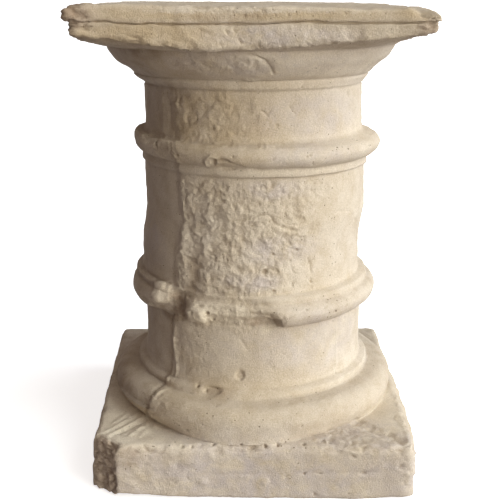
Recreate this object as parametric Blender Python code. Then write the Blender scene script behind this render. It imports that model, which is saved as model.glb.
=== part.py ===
"""Garden pedestal: a short round column of cast stone with a square plinth and a square top slab, in one piece.

The front looks along -Y. The origin is on the ground under the middle of the plinth. The profile is turned
first. Each of its rings is then given its outline, round or square, and its wear: a mould quarter that sits
back, a ring with a stretch broken away, a lump of stone left in the break, and corners that are lost.
"""

import math
from collections import namedtuple

import bmesh
import bpy

# Heights of the courses, from the ground up
PLINTH_HEIGHT = 0.073
BASE_TORUS_HEIGHT = 0.043
BASE_FILLET_HEIGHT = 0.011
LOWER_DRUM_HEIGHT = 0.085
LOWER_RING_HEIGHT = 0.029
LOWER_RING_FILLET_HEIGHT = 0.009
MIDDLE_DRUM_HEIGHT = 0.150
UPPER_RING_FILLET_HEIGHT = 0.011
UPPER_RING_HEIGHT = 0.030
NECK_HEIGHT = 0.062
BELL_FILLET_HEIGHT = 0.012
BELL_HEIGHT = 0.036
SLAB_FLARE_HEIGHT = 0.020  # how far the underside rises from the bell out to a corner
SLAB_CORNER_FASCIA_HEIGHT = 0.010
SLAB_GROOVE_HEIGHT = 0.003
SLAB_UPPER_FASCIA_HEIGHT = 0.016

# Radii of the round parts, and how far each moulding stands out from its drum
DRUM_RADIUS = 0.147
NECK_RADIUS = 0.142
BASE_TORUS_PROJECTION = 0.047
BASE_FILLET_PROJECTION = 0.014
DRUM_FOOT_FLARE = 0.005
DRUM_FOOT_FLARE_HEIGHT = 0.020
LOWER_RING_PROJECTION = 0.021
LOWER_RING_FILLET_PROJECTION = 0.0085
UPPER_RING_FILLET_PROJECTION = 0.003
UPPER_RING_PROJECTION = 0.019
BELL_FILLET_PROJECTION = 0.0045
BELL_SPREAD = 0.042
BELL_FULLNESS = 1.7  # 1 is a straight cone, and more makes it rounder

# The squares
PLINTH_MARGIN = 0.009  # from the base torus out to the plinth's side
PLINTH_ARRIS = 0.004
SLAB_OVERHANG = 0.0145  # from the bell's widest out to the middle of the slab's side
SLAB_FASCIA_STEP = 0.002  # how far the upper fascia stands out over the lower one
SLAB_GROOVE_DEPTH = 0.004
SLAB_ARRIS = 0.004
SLAB_REST_BORDER = 0.030  # the worn border around the flat rest on top

# How far the casting is out of true, along X
MIDDLE_DRUM_FOOT_DRIFT = -0.0035
MIDDLE_DRUM_HEAD_DRIFT = 0.003
UPPER_RING_DRIFT = 0.005
BELL_DRIFT = -0.0025

# The mould was in quarters that met on the diagonals, and the left one sits back where it meets the front one
SEAM_ANGLE = -135.0
SEAM_STEP = 0.003
SEAM_STEP_FADE = 50.0

# The stretch that is broken out of the lower ring, as angles seen from above
BREAK_START = -131.0
BREAK_END = -79.0
BREAK_RAMP = 5.0
BREAK_REMNANT = 0.15  # the share of the ring's projection that is left in the break
LUMP_ANGLE = -120.0
LUMP_HALF_ANGLE = 7.0
LUMP_PROJECTION = 0.009

# What each corner has lost along its diagonal: right back, left back, left front, right front
PLINTH_CORNER_LOSSES = (0.005, 0.005, 0.022, 0.009)
SLAB_CORNER_LOSSES = (0.005, 0.004, 0.001, 0.005)
SLAB_CORNER_DROP = 0.007  # how far the top is worn down at the right front corner
SLAB_CORNER_DROP_ANGLE = -45.0
SLAB_CORNER_DROP_HALF_ANGLE = 8.0

# Facets
SIDES = 72
PLINTH_STEPS = 2
BASE_TORUS_STEPS = 7
RING_STEPS = 6
NOTCH_ANGLE = 70.0  # where a ring's round stops short against its fillet
DRUM_STEPS = 4
BELL_STEPS = 5

STONE_COLOUR = (0.56, 0.48, 0.37, 1.0)
STONE_ROUGHNESS = 0.95

# Levels where the courses meet
BASE_TORUS_TOP = PLINTH_HEIGHT + BASE_TORUS_HEIGHT
BASE_FILLET_TOP = BASE_TORUS_TOP + BASE_FILLET_HEIGHT
LOWER_RING_FOOT = BASE_FILLET_TOP + LOWER_DRUM_HEIGHT
LOWER_RING_TOP = LOWER_RING_FOOT + LOWER_RING_HEIGHT
LOWER_FILLET_TOP = LOWER_RING_TOP + LOWER_RING_FILLET_HEIGHT
MIDDLE_DRUM_TOP = LOWER_FILLET_TOP + MIDDLE_DRUM_HEIGHT
UPPER_RING_FOOT = MIDDLE_DRUM_TOP + UPPER_RING_FILLET_HEIGHT
UPPER_RING_TOP = UPPER_RING_FOOT + UPPER_RING_HEIGHT
NECK_TOP = UPPER_RING_TOP + NECK_HEIGHT
BELL_FOOT = NECK_TOP + BELL_FILLET_HEIGHT
BELL_TOP = BELL_FOOT + BELL_HEIGHT
GROOVE_FOOT = BELL_TOP + SLAB_FLARE_HEIGHT + SLAB_CORNER_FASCIA_HEIGHT
GROOVE_TOP = GROOVE_FOOT + SLAB_GROOVE_HEIGHT
SLAB_TOP = GROOVE_TOP + SLAB_UPPER_FASCIA_HEIGHT

# Reaches that follow from the sizes above
BASE_TORUS_RADIUS = DRUM_RADIUS + BASE_TORUS_PROJECTION
PLINTH_HALF = BASE_TORUS_RADIUS + PLINTH_MARGIN
BELL_FOOT_RADIUS = NECK_RADIUS + BELL_FILLET_PROJECTION
BELL_TOP_RADIUS = BELL_FOOT_RADIUS + BELL_SPREAD
SLAB_HALF = BELL_TOP_RADIUS + SLAB_OVERHANG
LOWER_FASCIA_HALF = SLAB_HALF - SLAB_FASCIA_STEP
LOWER_FASCIA_CORNER = LOWER_FASCIA_HALF * math.sqrt(2.0)

# One ring of the turned body. A square ring's radius is its half width. The finish is a function that takes
# the radius, the level and the azimuth in degrees, and gives the worn radius and level there.
Ring = namedtuple("Ring", "radius level drift finish")


def ease(share):
    """A smooth step from 0 to 1."""
    share = min(1.0, max(0.0, share))
    return share * share * (3 - 2 * share)


def gap(azimuth, angle):
    """The unsigned gap between two angles in degrees."""
    turn = (azimuth - angle) % 360.0
    return min(turn, 360.0 - turn)


def square_reach(azimuth, half, losses):
    """How far a square with worn corners reaches from its middle at this azimuth."""
    angle = math.radians(azimuth)
    reach = half / max(abs(math.cos(angle)), abs(math.sin(angle)))
    for corner, loss in enumerate(losses):
        turn = gap(azimuth, 45.0 + 90.0 * corner)
        if turn < 45.0:
            reach = min(reach, (half * math.sqrt(2.0) - loss) / math.cos(math.radians(turn)))
    return reach


def seam_step(azimuth):
    """How far the left mould quarter sits back at this azimuth, most beside the seam."""
    behind = (SEAM_ANGLE - azimuth) % 360.0
    return SEAM_STEP * (1 - behind / SEAM_STEP_FADE) if 0.0 < behind < SEAM_STEP_FADE else 0.0


def round_finish(radius, level, azimuth):
    """A round course, with the left quarter set back."""
    return radius - seam_step(azimuth), level


def broken_ring_finish(radius, level, azimuth):
    """The lower ring, with a stretch broken away and a lump left in the break."""
    middle = (BREAK_START + BREAK_END) / 2
    half = (BREAK_END - BREAK_START) / 2
    whole = ease((gap(azimuth, middle) - half) / BREAK_RAMP)
    share = BREAK_REMNANT + (1 - BREAK_REMNANT) * whole
    lump = LUMP_PROJECTION * ease(1 - gap(azimuth, LUMP_ANGLE) / LUMP_HALF_ANGLE)
    if level > (LOWER_RING_FOOT + LOWER_RING_TOP) / 2:
        lump = 0.0
    return DRUM_RADIUS + (radius - DRUM_RADIUS) * share + lump - seam_step(azimuth), level


def plinth_finish(half, level, azimuth):
    """The plinth's square, with its broken left front corner."""
    return square_reach(azimuth, half, PLINTH_CORNER_LOSSES), level


def slab_finish(half, level, azimuth):
    """The slab's square."""
    return square_reach(azimuth, half, SLAB_CORNER_LOSSES), level


def slab_underside_finish(half, level, azimuth):
    """The slab's lower edge, which arches up to the corners because the underside flares."""
    reach = square_reach(azimuth, half, SLAB_CORNER_LOSSES)
    share = (reach - BELL_TOP_RADIUS) / (LOWER_FASCIA_CORNER - BELL_TOP_RADIUS)
    return reach, level + SLAB_FLARE_HEIGHT * share


def slab_rim_finish(half, level, azimuth):
    """The slab's top arris, worn down at the right front corner."""
    drop = ease(1 - gap(azimuth, SLAB_CORNER_DROP_ANGLE) / SLAB_CORNER_DROP_HALF_ANGLE)
    return square_reach(azimuth, half, SLAB_CORNER_LOSSES), level - SLAB_CORNER_DROP * drop


def half_round(radius, foot, top, steps, first=-90.0, last=90.0):
    """Radii and levels up a half-round moulding, whose widest point is at the radius."""
    bulge = (top - foot) / 2
    middle = (top + foot) / 2
    for step in range(steps + 1):
        angle = math.radians(first + (last - first) * step / steps)
        yield radius - bulge + bulge * math.cos(angle), middle + bulge * math.sin(angle)


def plinth_rings():
    """The plinth's wall, from the ground to its top arris."""
    wall = PLINTH_HEIGHT - PLINTH_ARRIS
    rings = [
        Ring(PLINTH_HALF, wall * step / PLINTH_STEPS, 0.0, plinth_finish) for step in range(PLINTH_STEPS + 1)
    ]
    rings.append(Ring(PLINTH_HALF - PLINTH_ARRIS, PLINTH_HEIGHT, 0.0, plinth_finish))
    return rings


def base_rings():
    """The base torus, the fillet on it and the foot of the drum."""
    fillet = DRUM_RADIUS + BASE_FILLET_PROJECTION
    points = list(half_round(BASE_TORUS_RADIUS, PLINTH_HEIGHT, BASE_TORUS_TOP, BASE_TORUS_STEPS))
    points.append((fillet, BASE_TORUS_TOP))
    points.append((fillet, BASE_FILLET_TOP))
    points.append((DRUM_RADIUS + DRUM_FOOT_FLARE, BASE_FILLET_TOP))
    points.append((DRUM_RADIUS, BASE_FILLET_TOP + DRUM_FOOT_FLARE_HEIGHT))
    return [Ring(radius, level, 0.0, round_finish) for radius, level in points]


def lower_ring_rings():
    """The lower ring, with its fillet on top."""
    radius = DRUM_RADIUS + LOWER_RING_PROJECTION
    fillet = DRUM_RADIUS + LOWER_RING_FILLET_PROJECTION
    rings = [Ring(DRUM_RADIUS, LOWER_RING_FOOT, 0.0, round_finish)]
    for point in half_round(radius, LOWER_RING_FOOT, LOWER_RING_TOP, RING_STEPS, last=NOTCH_ANGLE):
        rings.append(Ring(*point, 0.0, broken_ring_finish))
    for level in (LOWER_RING_TOP, LOWER_FILLET_TOP):
        rings.append(Ring(fillet, level, 0.0, broken_ring_finish))
    return rings


def middle_drum_rings():
    """The rough drum between the two rings, whose axis drifts from left to right as it rises."""
    rings = []
    for step in range(DRUM_STEPS + 1):
        share = step / DRUM_STEPS
        level = LOWER_FILLET_TOP + MIDDLE_DRUM_HEIGHT * share
        sway = MIDDLE_DRUM_HEAD_DRIFT - MIDDLE_DRUM_FOOT_DRIFT
        rings.append(Ring(DRUM_RADIUS, level, MIDDLE_DRUM_FOOT_DRIFT + sway * ease(share), round_finish))
    return rings


def upper_ring_rings():
    """The upper ring, with its fillet beneath, both cast a little off to the right."""
    radius = NECK_RADIUS + UPPER_RING_PROJECTION
    fillet = DRUM_RADIUS + UPPER_RING_FILLET_PROJECTION
    points = [(fillet, MIDDLE_DRUM_TOP), (fillet, UPPER_RING_FOOT)]
    points += half_round(radius, UPPER_RING_FOOT, UPPER_RING_TOP, RING_STEPS, first=-NOTCH_ANGLE)
    return [Ring(radius, level, UPPER_RING_DRIFT, round_finish) for radius, level in points]


def bell_rings():
    """The neck, its fillet and the bell that swells out to the slab."""
    rings = [Ring(NECK_RADIUS, level, 0.0, round_finish) for level in (UPPER_RING_TOP, NECK_TOP)]
    rings.append(Ring(BELL_FOOT_RADIUS, NECK_TOP, BELL_DRIFT, round_finish))
    for step in range(BELL_STEPS + 1):
        up = step / BELL_STEPS
        radius = BELL_FOOT_RADIUS + BELL_SPREAD * (1 - (1 - up) ** BELL_FULLNESS)
        rings.append(Ring(radius, BELL_FOOT + BELL_HEIGHT * up, BELL_DRIFT, round_finish))
    return rings


def slab_rings():
    """The slab's side, from its lower edge to the rim of the flat rest on top."""
    groove_half = LOWER_FASCIA_HALF - SLAB_GROOVE_DEPTH
    return [
        Ring(LOWER_FASCIA_HALF, BELL_TOP, 0.0, slab_underside_finish),
        Ring(LOWER_FASCIA_HALF, GROOVE_FOOT, 0.0, slab_finish),
        Ring(groove_half, GROOVE_FOOT, 0.0, slab_finish),
        Ring(groove_half, GROOVE_TOP, 0.0, slab_finish),
        Ring(SLAB_HALF, GROOVE_TOP, 0.0, slab_finish),
        Ring(SLAB_HALF, SLAB_TOP - SLAB_ARRIS, 0.0, slab_rim_finish),
        Ring(SLAB_HALF - SLAB_ARRIS, SLAB_TOP, 0.0, slab_rim_finish),
        Ring(SLAB_HALF - SLAB_REST_BORDER, SLAB_TOP, 0.0, slab_finish),
    ]


def turn(rings):
    """A closed turned body with flat ends. Each vertex remembers which ring it is on."""
    body = bmesh.new()
    ring_index = body.verts.layers.int.new("ring")
    vertices = []
    for index, ring in enumerate(rings):
        vertex = body.verts.new((ring.radius, 0.0, index))
        vertex[ring_index] = index
        vertices.append(vertex)
    edges = [body.edges.new(pair) for pair in zip(vertices, vertices[1:])]
    bmesh.ops.spin(
        body,
        geom=vertices + edges,
        axis=(0.0, 0.0, 1.0),
        cent=(0.0, 0.0, 0.0),
        steps=SIDES,
        angle=math.tau,
        use_merge=True,
    )
    bmesh.ops.holes_fill(body, edges=[edge for edge in body.edges if edge.is_boundary], sides=0)
    return body


def give_outlines(body, rings):
    """Moves each ring's vertices from the plain turned body to the worn casting."""
    ring_index = body.verts.layers.int["ring"]
    for vertex in body.verts:
        ring = rings[vertex[ring_index]]
        angle = math.atan2(vertex.co.y, vertex.co.x)
        reach, level = ring.finish(ring.radius, ring.level, math.degrees(angle))
        vertex.co = (reach * math.cos(angle) + ring.drift, reach * math.sin(angle), level)


def stone_material():
    """Pale, matt cast stone."""
    material = bpy.data.materials.new("cast stone")
    material.use_nodes = True
    shader = material.node_tree.nodes["Principled BSDF"]
    shader.inputs["Base Color"].default_value = STONE_COLOUR
    shader.inputs["Roughness"].default_value = STONE_ROUGHNESS
    shader.inputs["Metallic"].default_value = 0.0
    return material


def make_pedestal():
    rings = plinth_rings() + base_rings() + lower_ring_rings() + middle_drum_rings()
    rings += upper_ring_rings() + bell_rings() + slab_rings()
    body = turn(rings)
    give_outlines(body, rings)
    bmesh.ops.recalc_face_normals(body, faces=body.faces)
    mesh = bpy.data.meshes.new("pedestal")
    body.to_mesh(mesh)
    body.free()
    mesh.shade_smooth()
    mesh.set_sharp_from_angle(angle=math.radians(35.0))
    mesh.materials.append(stone_material())
    pedestal = bpy.data.objects.new("pedestal", mesh)
    bpy.context.collection.objects.link(pedestal)
    return pedestal


def main():
    for thing in list(bpy.data.objects):
        bpy.data.objects.remove(thing, do_unlink=True)
    make_pedestal()


main()
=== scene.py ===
"""Garden pedestal: the looks of the worn cast stone, carved on the same turned form as the solid.

The front looks along -Y. Azimuths are degrees anticlockwise from +X as seen from above, so the front is at
-90. Levels are metres above the ground.
"""

import math
from collections import namedtuple

import bmesh
import bpy
import numpy as np
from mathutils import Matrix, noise


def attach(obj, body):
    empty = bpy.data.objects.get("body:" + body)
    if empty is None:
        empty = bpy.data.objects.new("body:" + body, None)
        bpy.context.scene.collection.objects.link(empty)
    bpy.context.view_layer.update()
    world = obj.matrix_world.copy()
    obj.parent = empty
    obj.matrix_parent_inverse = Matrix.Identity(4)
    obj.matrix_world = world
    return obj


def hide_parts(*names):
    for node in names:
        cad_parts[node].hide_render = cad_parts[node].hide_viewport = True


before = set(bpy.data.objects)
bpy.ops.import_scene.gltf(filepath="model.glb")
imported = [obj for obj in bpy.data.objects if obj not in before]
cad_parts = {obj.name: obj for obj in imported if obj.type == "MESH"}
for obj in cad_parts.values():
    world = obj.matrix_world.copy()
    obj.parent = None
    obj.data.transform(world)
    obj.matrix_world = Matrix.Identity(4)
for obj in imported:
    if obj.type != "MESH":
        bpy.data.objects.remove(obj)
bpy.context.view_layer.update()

MM = 0.001
DEGREE = math.pi / 180

# The camera, fitted to the moulding lines and the outline
FRAME_PIXELS = 500
FOCAL_PIXELS = 902
SENSOR_WIDTH = 36.0
CAMERA_PLACE = (-0.0035, -1.206, 0.615)
CAMERA_PITCH = 0.2795

# The studio
FLOOR_HALF = 400.0
FLOOR_GLOW = 0.66
FILL_STRENGTH = 0.16

# Levels where the courses meet
PLINTH_TOP = 0.073
BASE_TORUS_TOP = 0.116
BASE_FILLET_TOP = 0.127
LOWER_RING_FOOT = 0.212
LOWER_RING_TOP = 0.241
LOWER_FILLET_TOP = 0.250
MIDDLE_DRUM_TOP = 0.4015
UPPER_RING_FOOT = 0.4130
UPPER_RING_TOP = 0.4395
NECK_TOP = 0.503
BELL_FOOT = 0.515
BELL_TOP = 0.551
GROOVE_FOOT = 0.5815
GROOVE_TOP = 0.5832
SLAB_TOP = 0.600

# Radii of the round courses
DRUM_RADIUS = 0.147
DRUM_FOOT_FLARE = 0.005
BASE_TORUS_RADIUS = 0.195
BASE_FILLET_RADIUS = 0.161
LOWER_RING_RADIUS = 0.168
LOWER_FILLET_RADIUS = 0.156
UPPER_FILLET_RADIUS = 0.1512
UPPER_RING_RADIUS = 0.1635
NECK_RADIUS = 0.1425
BELL_FOOT_RADIUS = 0.1465
BELL_TOP_RADIUS = 0.1885
BELL_FULLNESS = 1.7

# The two squares
PLINTH_HALF = 0.203
SLAB_HALF = 0.2035
LOWER_FASCIA_HALF = 0.2015
SLAB_FLARE_HEIGHT = 0.020
GROOVE_DEPTH = 0.0032
SLAB_DIP = 0.0035

# Sides of the plinth and the slab as azimuth of the side's normal and distance from the axis. The last two
# of the plinth are its worn right front corner and its broken left one.
PLINTH_SIDES = (
    (-90, 0.2005), (-0.4, 0.2058), (90.2, 0.2163), (182.2, 0.209), (-45, 0.285), (-135.6, 0.2622),
)
SLAB_SIDES = ((-90, 0.2035), (0, 0.205), (90, 0.2035), (180, 0.2045))
PLINTH_SHARPNESS = 64.0
SLAB_SHARPNESS = 90.0
# How far the worn fillet over the base torus spreads at its foot, and the plinth goes past the torus at least
WORN_FILLET_SPREAD = 0.003
LEAST_RUNOUT = 0.0004
# The groove is worn shallow within so many degrees of the slab's corners
GROOVE_WORN_DEPTH = 0.0008
GROOVE_WORN_WIDTH = 2.5
# Where the slab's top begins to dip to the right and over what run, and the worn border round it
SLAB_DIP_START = 0.03
SLAB_DIP_RUN = 0.15
SLAB_BORDER = 0.030
SLAB_BORDER_FADE = 0.012

# How far the casting's axis wanders along X, by level
DRIFT = (
    (0.127, 0), (0.15, 0.002), (0.205, 0.0022), (0.244, 0.0008), (0.258, -0.0025), (0.28, -0.0038),
    (0.3, -0.0028), (0.32, 0.0008), (0.34, 0.0037), (0.365, 0.0027), (0.4, 0.0025), (0.426, 0.0065),
    (0.445, 0.0018), (0.505, 0.0008), (0.53, -0.003), (0.551, 0),
)
UPPER_RING_TILT = 0.002

# The seam between the left and the front mould quarter, as level and azimuth. By level, the width in degrees
# over which the left quarter steps back from it and the step's share of its depth, which fades out so many
# degrees away. The seam wavers by so many degrees, within such a height.
SEAM = (
    (0.098, -135), (0.14, -136.6), (0.2, -136.2), (0.255, -131), (0.33, -129), (0.4, -130.5), (0.457, -133.5),
    (0.49, -132),
)
SEAM_STEP = 0.003
SEAM_WIDTH = ((0.1, 1.8), (0.21, 2.4), (0.26, 5.5), (0.39, 5.5), (0.45, 7))
SEAM_DEPTH = ((0.4, 1), (0.45, 0.7), (0.495, 0.4), (0.507, 0))
SEAM_STEP_FADE = 50.0
SEAM_WAVER = 1.4
SEAM_WAVER_HEIGHT = 0.012
# The crumbs beside the seam: how far in front of it and how wide in degrees, and up to what level
SEAM_CRUMBS_ASIDE = 1.5
SEAM_CRUMBS_WIDTH = 3.2
SEAM_CRUMBS_TOP = 0.5
# The levels between which the lower fascia crumbles
FASCIA_CRUMB_LEVELS = (0.553, 0.58)

# What the lower ring keeps of its projection in the break: levels, each with shares by azimuth
BREAK = (
    (0.2125, ((-151, 1), (-143, 0.2), (-137, 0), (-122, 0.2), (-113, 0.1), (-79.5, 0), (-77, 1))),
    (0.2195, ((-148, 1), (-141, 0.4), (-135.5, 0), (-124.5, 0), (-120.5, 0.48), (-114, 0.48), (-110, 0.22),
              (-104, 0.16), (-92, 0.1), (-87, -0.08), (-80.5, -0.1), (-78, 0.85), (-76, 1))),
    (0.2285, ((-143, 1), (-137.5, 0.5), (-133.5, 0.08), (-125.5, 0.05), (-121.5, 0.55), (-114.5, 0.58),
              (-110, 0.4), (-100, 0.36), (-90, 0.38), (-82.5, 0.5), (-79.5, 0.9), (-76, 1))),
    (0.236, ((-139, 1), (-134, 0.35), (-126.5, 0.1), (-121.5, 0.4), (-116, 0.42), (-108, 0.36),
             (-100, 0.38), (-90, 0.5), (-83, 0.78), (-78, 1))),
    (0.2465, ((-139, 1), (-134, 0.5), (-126.5, 0.1), (-121, 0.15), (-112, 0.1), (-100, 0.14), (-92, 0.35),
              (-82, 1))),
)

# What the fillet over the base torus keeps of its projection, by azimuth
BASE_FILLET_KEPT = (
    (-136, 1), (-131, 0.7), (-122, 0.45), (-108, 0.15), (-97, 0.25), (-84, 0.45), (-70, 0.75), (-52, 1),
)

# How much wider the round courses are at the left and at the right, and how much higher the lower ring's top
# lies at the left, in millimetres by level
LEFT_FILL = (
    (0.127, 0), (0.14, 2.6), (0.206, 2.8), (0.213, 0), (0.232, 0.4), (0.24, 2.2), (0.248, 4), (0.256, 2.4),
    (0.266, 0), (0.434, 0), (0.441, 2.2), (0.456, 1.2), (0.5, 0.6), (0.5045, -2.5), (0.507, 1.5), (0.51, 6),
    (0.513, 8.6), (0.516, 7), (0.519, 3.6), (0.5225, 1.4), (0.526, 1.8), (0.53, 2.2), (0.534, 1), (0.538, 0),
)
RIGHT_FILL = (
    (0.2, 0), (0.206, -2.5), (0.213, -4), (0.222, -2), (0.23, 0), (0.262, 0.8), (0.276, 1.8), (0.29, 1.2),
    (0.31, 0), (0.4, 0), (0.404, -2.4), (0.409, -3), (0.415, -1.5), (0.428, 0), (0.5, 0), (0.505, -2.5),
    (0.5085, 1), (0.5115, 4.2), (0.515, 5.6), (0.518, 4.4), (0.522, 0.8), (0.527, -0.6), (0.533, -1),
    (0.538, -2), (0.5435, -4.2), (0.56, -4.4), (0.567, -2.5), (0.571, 0),
)
LEFT_RISE = ((0.222, 0), (0.24, 3.4), (0.256, 4), (0.3, 0))

# How far from the axis the base torus meets the plinth's top, by azimuth
TORUS_FOOT = (
    (-180, 0.183), (-156, 0.1795), (-140, 0.18), (-131, 0.183), (-123, 0.1865), (-116, 0.1915),
    (-108, 0.1955), (-100, 0.197), (-84, 0.196), (-75, 0.1915), (-66, 0.189), (-56, 0.1875), (-40, 0.188),
    (-20, 0.19), (10, 0.185), (180, 0.185),
)
TORUS_FOOT_HEIGHT = 0.0215

# How far the plinth's lower arris is broken away upwards, in millimetres, by azimuth
PLINTH_UNDERCUT = (
    (-152, 0), (-134.5, 0), (-132, 3), (-130.3, 7.6), (-126.5, 6.4), (-117.5, 3.4), (-111.5, 2.4), (-90, 1),
    (-75, 0), (-52, 0), (-47, 1.8), (-41, 1.8), (-36, 0),
)
PLINTH_UNDERCUT_WIDTH = 0.020

# Along the slab's front, by azimuth and in millimetres: how the fascia's foot, the groove and the top wander
FASCIA_FOOT = (
    (-180, 0), (-150, -2), (-137, -3), (-131, -2), (-128.6, -0.5), (-123, -1.5), (-116, -2.5), (-110, -4),
    (-104, -3), (-98, 0), (-79, 0.5), (-75, 0.5), (-70, 1.5), (-64, 2.2), (-57.6, 1.4), (-52, 0.5), (-47, 0),
    (-44, 1), (-42, 3.5), (-39, 4.2), (-33, 5), (-24, 5.8), (-15, 5.8), (-5, 4.4), (5, 3.2), (45, 1), (60, 0),
)
GROOVE = (
    (-140, 0), (-131.5, 0.8), (-128.3, 1.6), (-126.2, -0.6), (-121.4, -1.8), (-119.5, -0.6), (-114.5, -1.8),
    (-95.7, -1.4), (-87.7, -1.8), (-79, 0.4), (-73.3, 1.4), (-66.9, -0.6), (-50.4, -0.5), (-45, 0.8),
    (-40, 0),
)
SLAB_CREST = (
    (-140, 0), (-133, 2.2), (-124, 2), (-112, 0.4), (-104, 0), (-66, 0), (-64, 0.2), (-61.5, -1.2), (-53, -1),
    (-50, 0.4), (-48.9, -4.4), (-48, -7), (-47, -9.6), (-45.5, -8.8), (-43.5, -7.2), (-39, -3), (-34, 0),
)

# Mesh density: around the axis, crowded towards the front, along the profile, and along a turn from square to
# round, which counts as a run of this length
SIDES = 560
FRONT_CROWDING = 0.55
STATION_SPACING = 0.0012
SQUARE_TO_ROUND_RUN = 0.06
ARC_STEPS = 24
MOST_TRIANGLES = 190_000
# No vertex off the underside comes nearer to the ground than this
LEAST_LEVEL = 0.0002

# A ring's square is 1 on the plinth and the slab and 0 on the round courses
Ring = namedtuple("Ring", "radius level square finish")
# A skin has the vertices' places, the places as wavering lines are drawn on them, the directions that face
# outwards, and each vertex's azimuth, level, distance from the axis and ring
Skin = namedtuple("Skin", "place drawn outward azimuth level reach ring")


def linear(code):
    """A linear colour from an sRGB hex code."""
    parts = [int(code[start : start + 2], 16) / 255 for start in (0, 2, 4)]
    return [part / 12.92 if part <= 0.04045 else ((part + 0.055) / 1.055) ** 2.4 for part in parts] + [1.0]


def ease(share):
    """A smooth step from 0 to 1."""
    share = np.clip(share, 0.0, 1.0)
    return share * share * (3 - 2 * share)


def gap(azimuth, angle):
    """The signed gap from an angle to these azimuths, between -180 and 180 degrees."""
    return (azimuth - angle + 180.0) % 360.0 - 180.0


def between(value, low, high, fade):
    """1 between two limits and 0 outside them, with soft borders."""
    return ease((value - low) / fade + 0.5) * ease((high - value) / fade + 0.5)


def wander(values, table):
    """Values read between the entries of a table."""
    return np.interp(values, *zip(*table))


def lumps(places, size, octaves, shift):
    """Smooth random heights between about -1 and 1, with lumps of this size."""
    points = (places / size + shift).tolist()
    return np.array([noise.fractal(point, 1.0, 2.1, octaves) for point in points])


def crumbs(places, size, octaves, shift):
    """Rounded crumbs of this size with sharp creases between them, from 0 in a crease to about 1."""
    points = (places / size + shift).tolist()
    return np.array([noise.turbulence(point, octaves, True) for point in points])


def outline_reach(azimuth, sides, sharpness):
    """How far a block with these sides and worn corners reaches from the axis."""
    total = np.zeros_like(azimuth)
    for normal, distance in sides:
        facing = np.cos(gap(azimuth, normal) * DEGREE)
        total += (np.clip(facing, 0.0, None) / distance) ** sharpness
    return total ** (-1.0 / sharpness)


def seam_step(azimuth, level, depth=SEAM_STEP):
    """How far the left mould quarter sits back, most beside the seam, which wavers."""
    wavering = SEAM_WAVER * noise.fractal((level / SEAM_WAVER_HEIGHT, 3.0, 0.0), 1.0, 2.0, 3)
    behind = -gap(azimuth, wander(level, SEAM) + wavering)
    width = wander(level, SEAM_WIDTH)
    depth = depth * wander(level, SEAM_DEPTH)
    return depth * ease(behind / width + 0.5) * np.clip(1 - behind / SEAM_STEP_FADE, 0.0, 1.0)


def round_finish(ring, azimuth):
    """A round course, with the left quarter set back."""
    radius = np.full_like(azimuth, ring.radius)
    return radius - seam_step(azimuth, ring.level), ring.level


def base_torus_finish(ring, azimuth):
    """The base torus, smaller to the left of the seam, with a foot that runs out onto the plinth."""
    radius = ring.radius - seam_step(azimuth, ring.level, 2 * SEAM_STEP)
    if ring.level < PLINTH_TOP + TORUS_FOOT_HEIGHT:
        down = 1 - (ring.level - PLINTH_TOP) / TORUS_FOOT_HEIGHT
        flank = BASE_TORUS_RADIUS + (wander(azimuth, TORUS_FOOT) - BASE_TORUS_RADIUS) * down**1.6
        radius = np.maximum(radius, flank)
    return radius, ring.level


def base_fillet_finish(ring, azimuth):
    """The fillet over the base torus, which is worn away in front."""
    reach, level = round_finish(ring, azimuth)
    up = (ring.level - BASE_TORUS_TOP) / (BASE_FILLET_TOP - BASE_TORUS_TOP)
    foot = BASE_FILLET_RADIUS + WORN_FILLET_SPREAD
    worn = foot - (foot - DRUM_RADIUS - DRUM_FOOT_FLARE * 0.6) * up
    return worn + (reach - worn) * wander(azimuth, BASE_FILLET_KEPT), level


def plinth_finish(ring, azimuth):
    """The plinth's square, and the passage from it to the round foot of the torus."""
    square = outline_reach(azimuth, PLINTH_SIDES[:-1], PLINTH_SHARPNESS)
    break_normal, break_distance = PLINTH_SIDES[-1]
    facing = np.maximum(np.cos(gap(azimuth, break_normal) * DEGREE), 0.1)
    square = np.minimum(square, break_distance / facing) * ring.radius / PLINTH_HALF
    foot = wander(azimuth, TORUS_FOOT)
    lift = wander(azimuth, PLINTH_UNDERCUT) * MM
    lift = lift * ease((ring.radius - PLINTH_HALF) / PLINTH_UNDERCUT_WIDTH + 1.0)
    lift = lift * max(0.0, 1 - ring.level / PLINTH_UNDERCUT_WIDTH)
    reach = foot + (square - foot) * ring.square
    if ring.level > PLINTH_TOP / 2:
        reach = np.maximum(reach, foot + LEAST_RUNOUT)
    return reach, ring.level + lift


def slab_finish(ring, azimuth):
    """The slab's square, on which the groove is worn away at the corners."""
    radius = np.full_like(azimuth, ring.radius)
    if abs(ring.level - (GROOVE_FOOT + GROOVE_TOP) / 2) < 0.0015:
        corner = ease(1.5 - np.abs(azimuth % 90.0 - 45.0) / GROOVE_WORN_WIDTH)
        radius = radius + np.maximum(LOWER_FASCIA_HALF - GROOVE_WORN_DEPTH - radius, 0.0) * corner
    square = outline_reach(azimuth, SLAB_SIDES, SLAB_SHARPNESS) * radius / SLAB_HALF
    return radius + (square - radius) * ring.square, ring.level


def fascia_foot(azimuth, reach):
    """The level of the lower fascia's foot, which arches up to the corners as the underside flares."""
    corner = LOWER_FASCIA_HALF * math.sqrt(2.0)
    share = (reach - BELL_TOP_RADIUS) / (corner - BELL_TOP_RADIUS)
    return BELL_TOP + SLAB_FLARE_HEIGHT * share + wander(azimuth, FASCIA_FOOT) * MM * np.clip(share * 8, 0, 1)


def slab_underside_finish(ring, azimuth):
    """The slab's underside, between the bell and the lower fascia."""
    reach = slab_finish(ring, azimuth)[0]
    return reach, fascia_foot(azimuth, reach)


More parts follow.
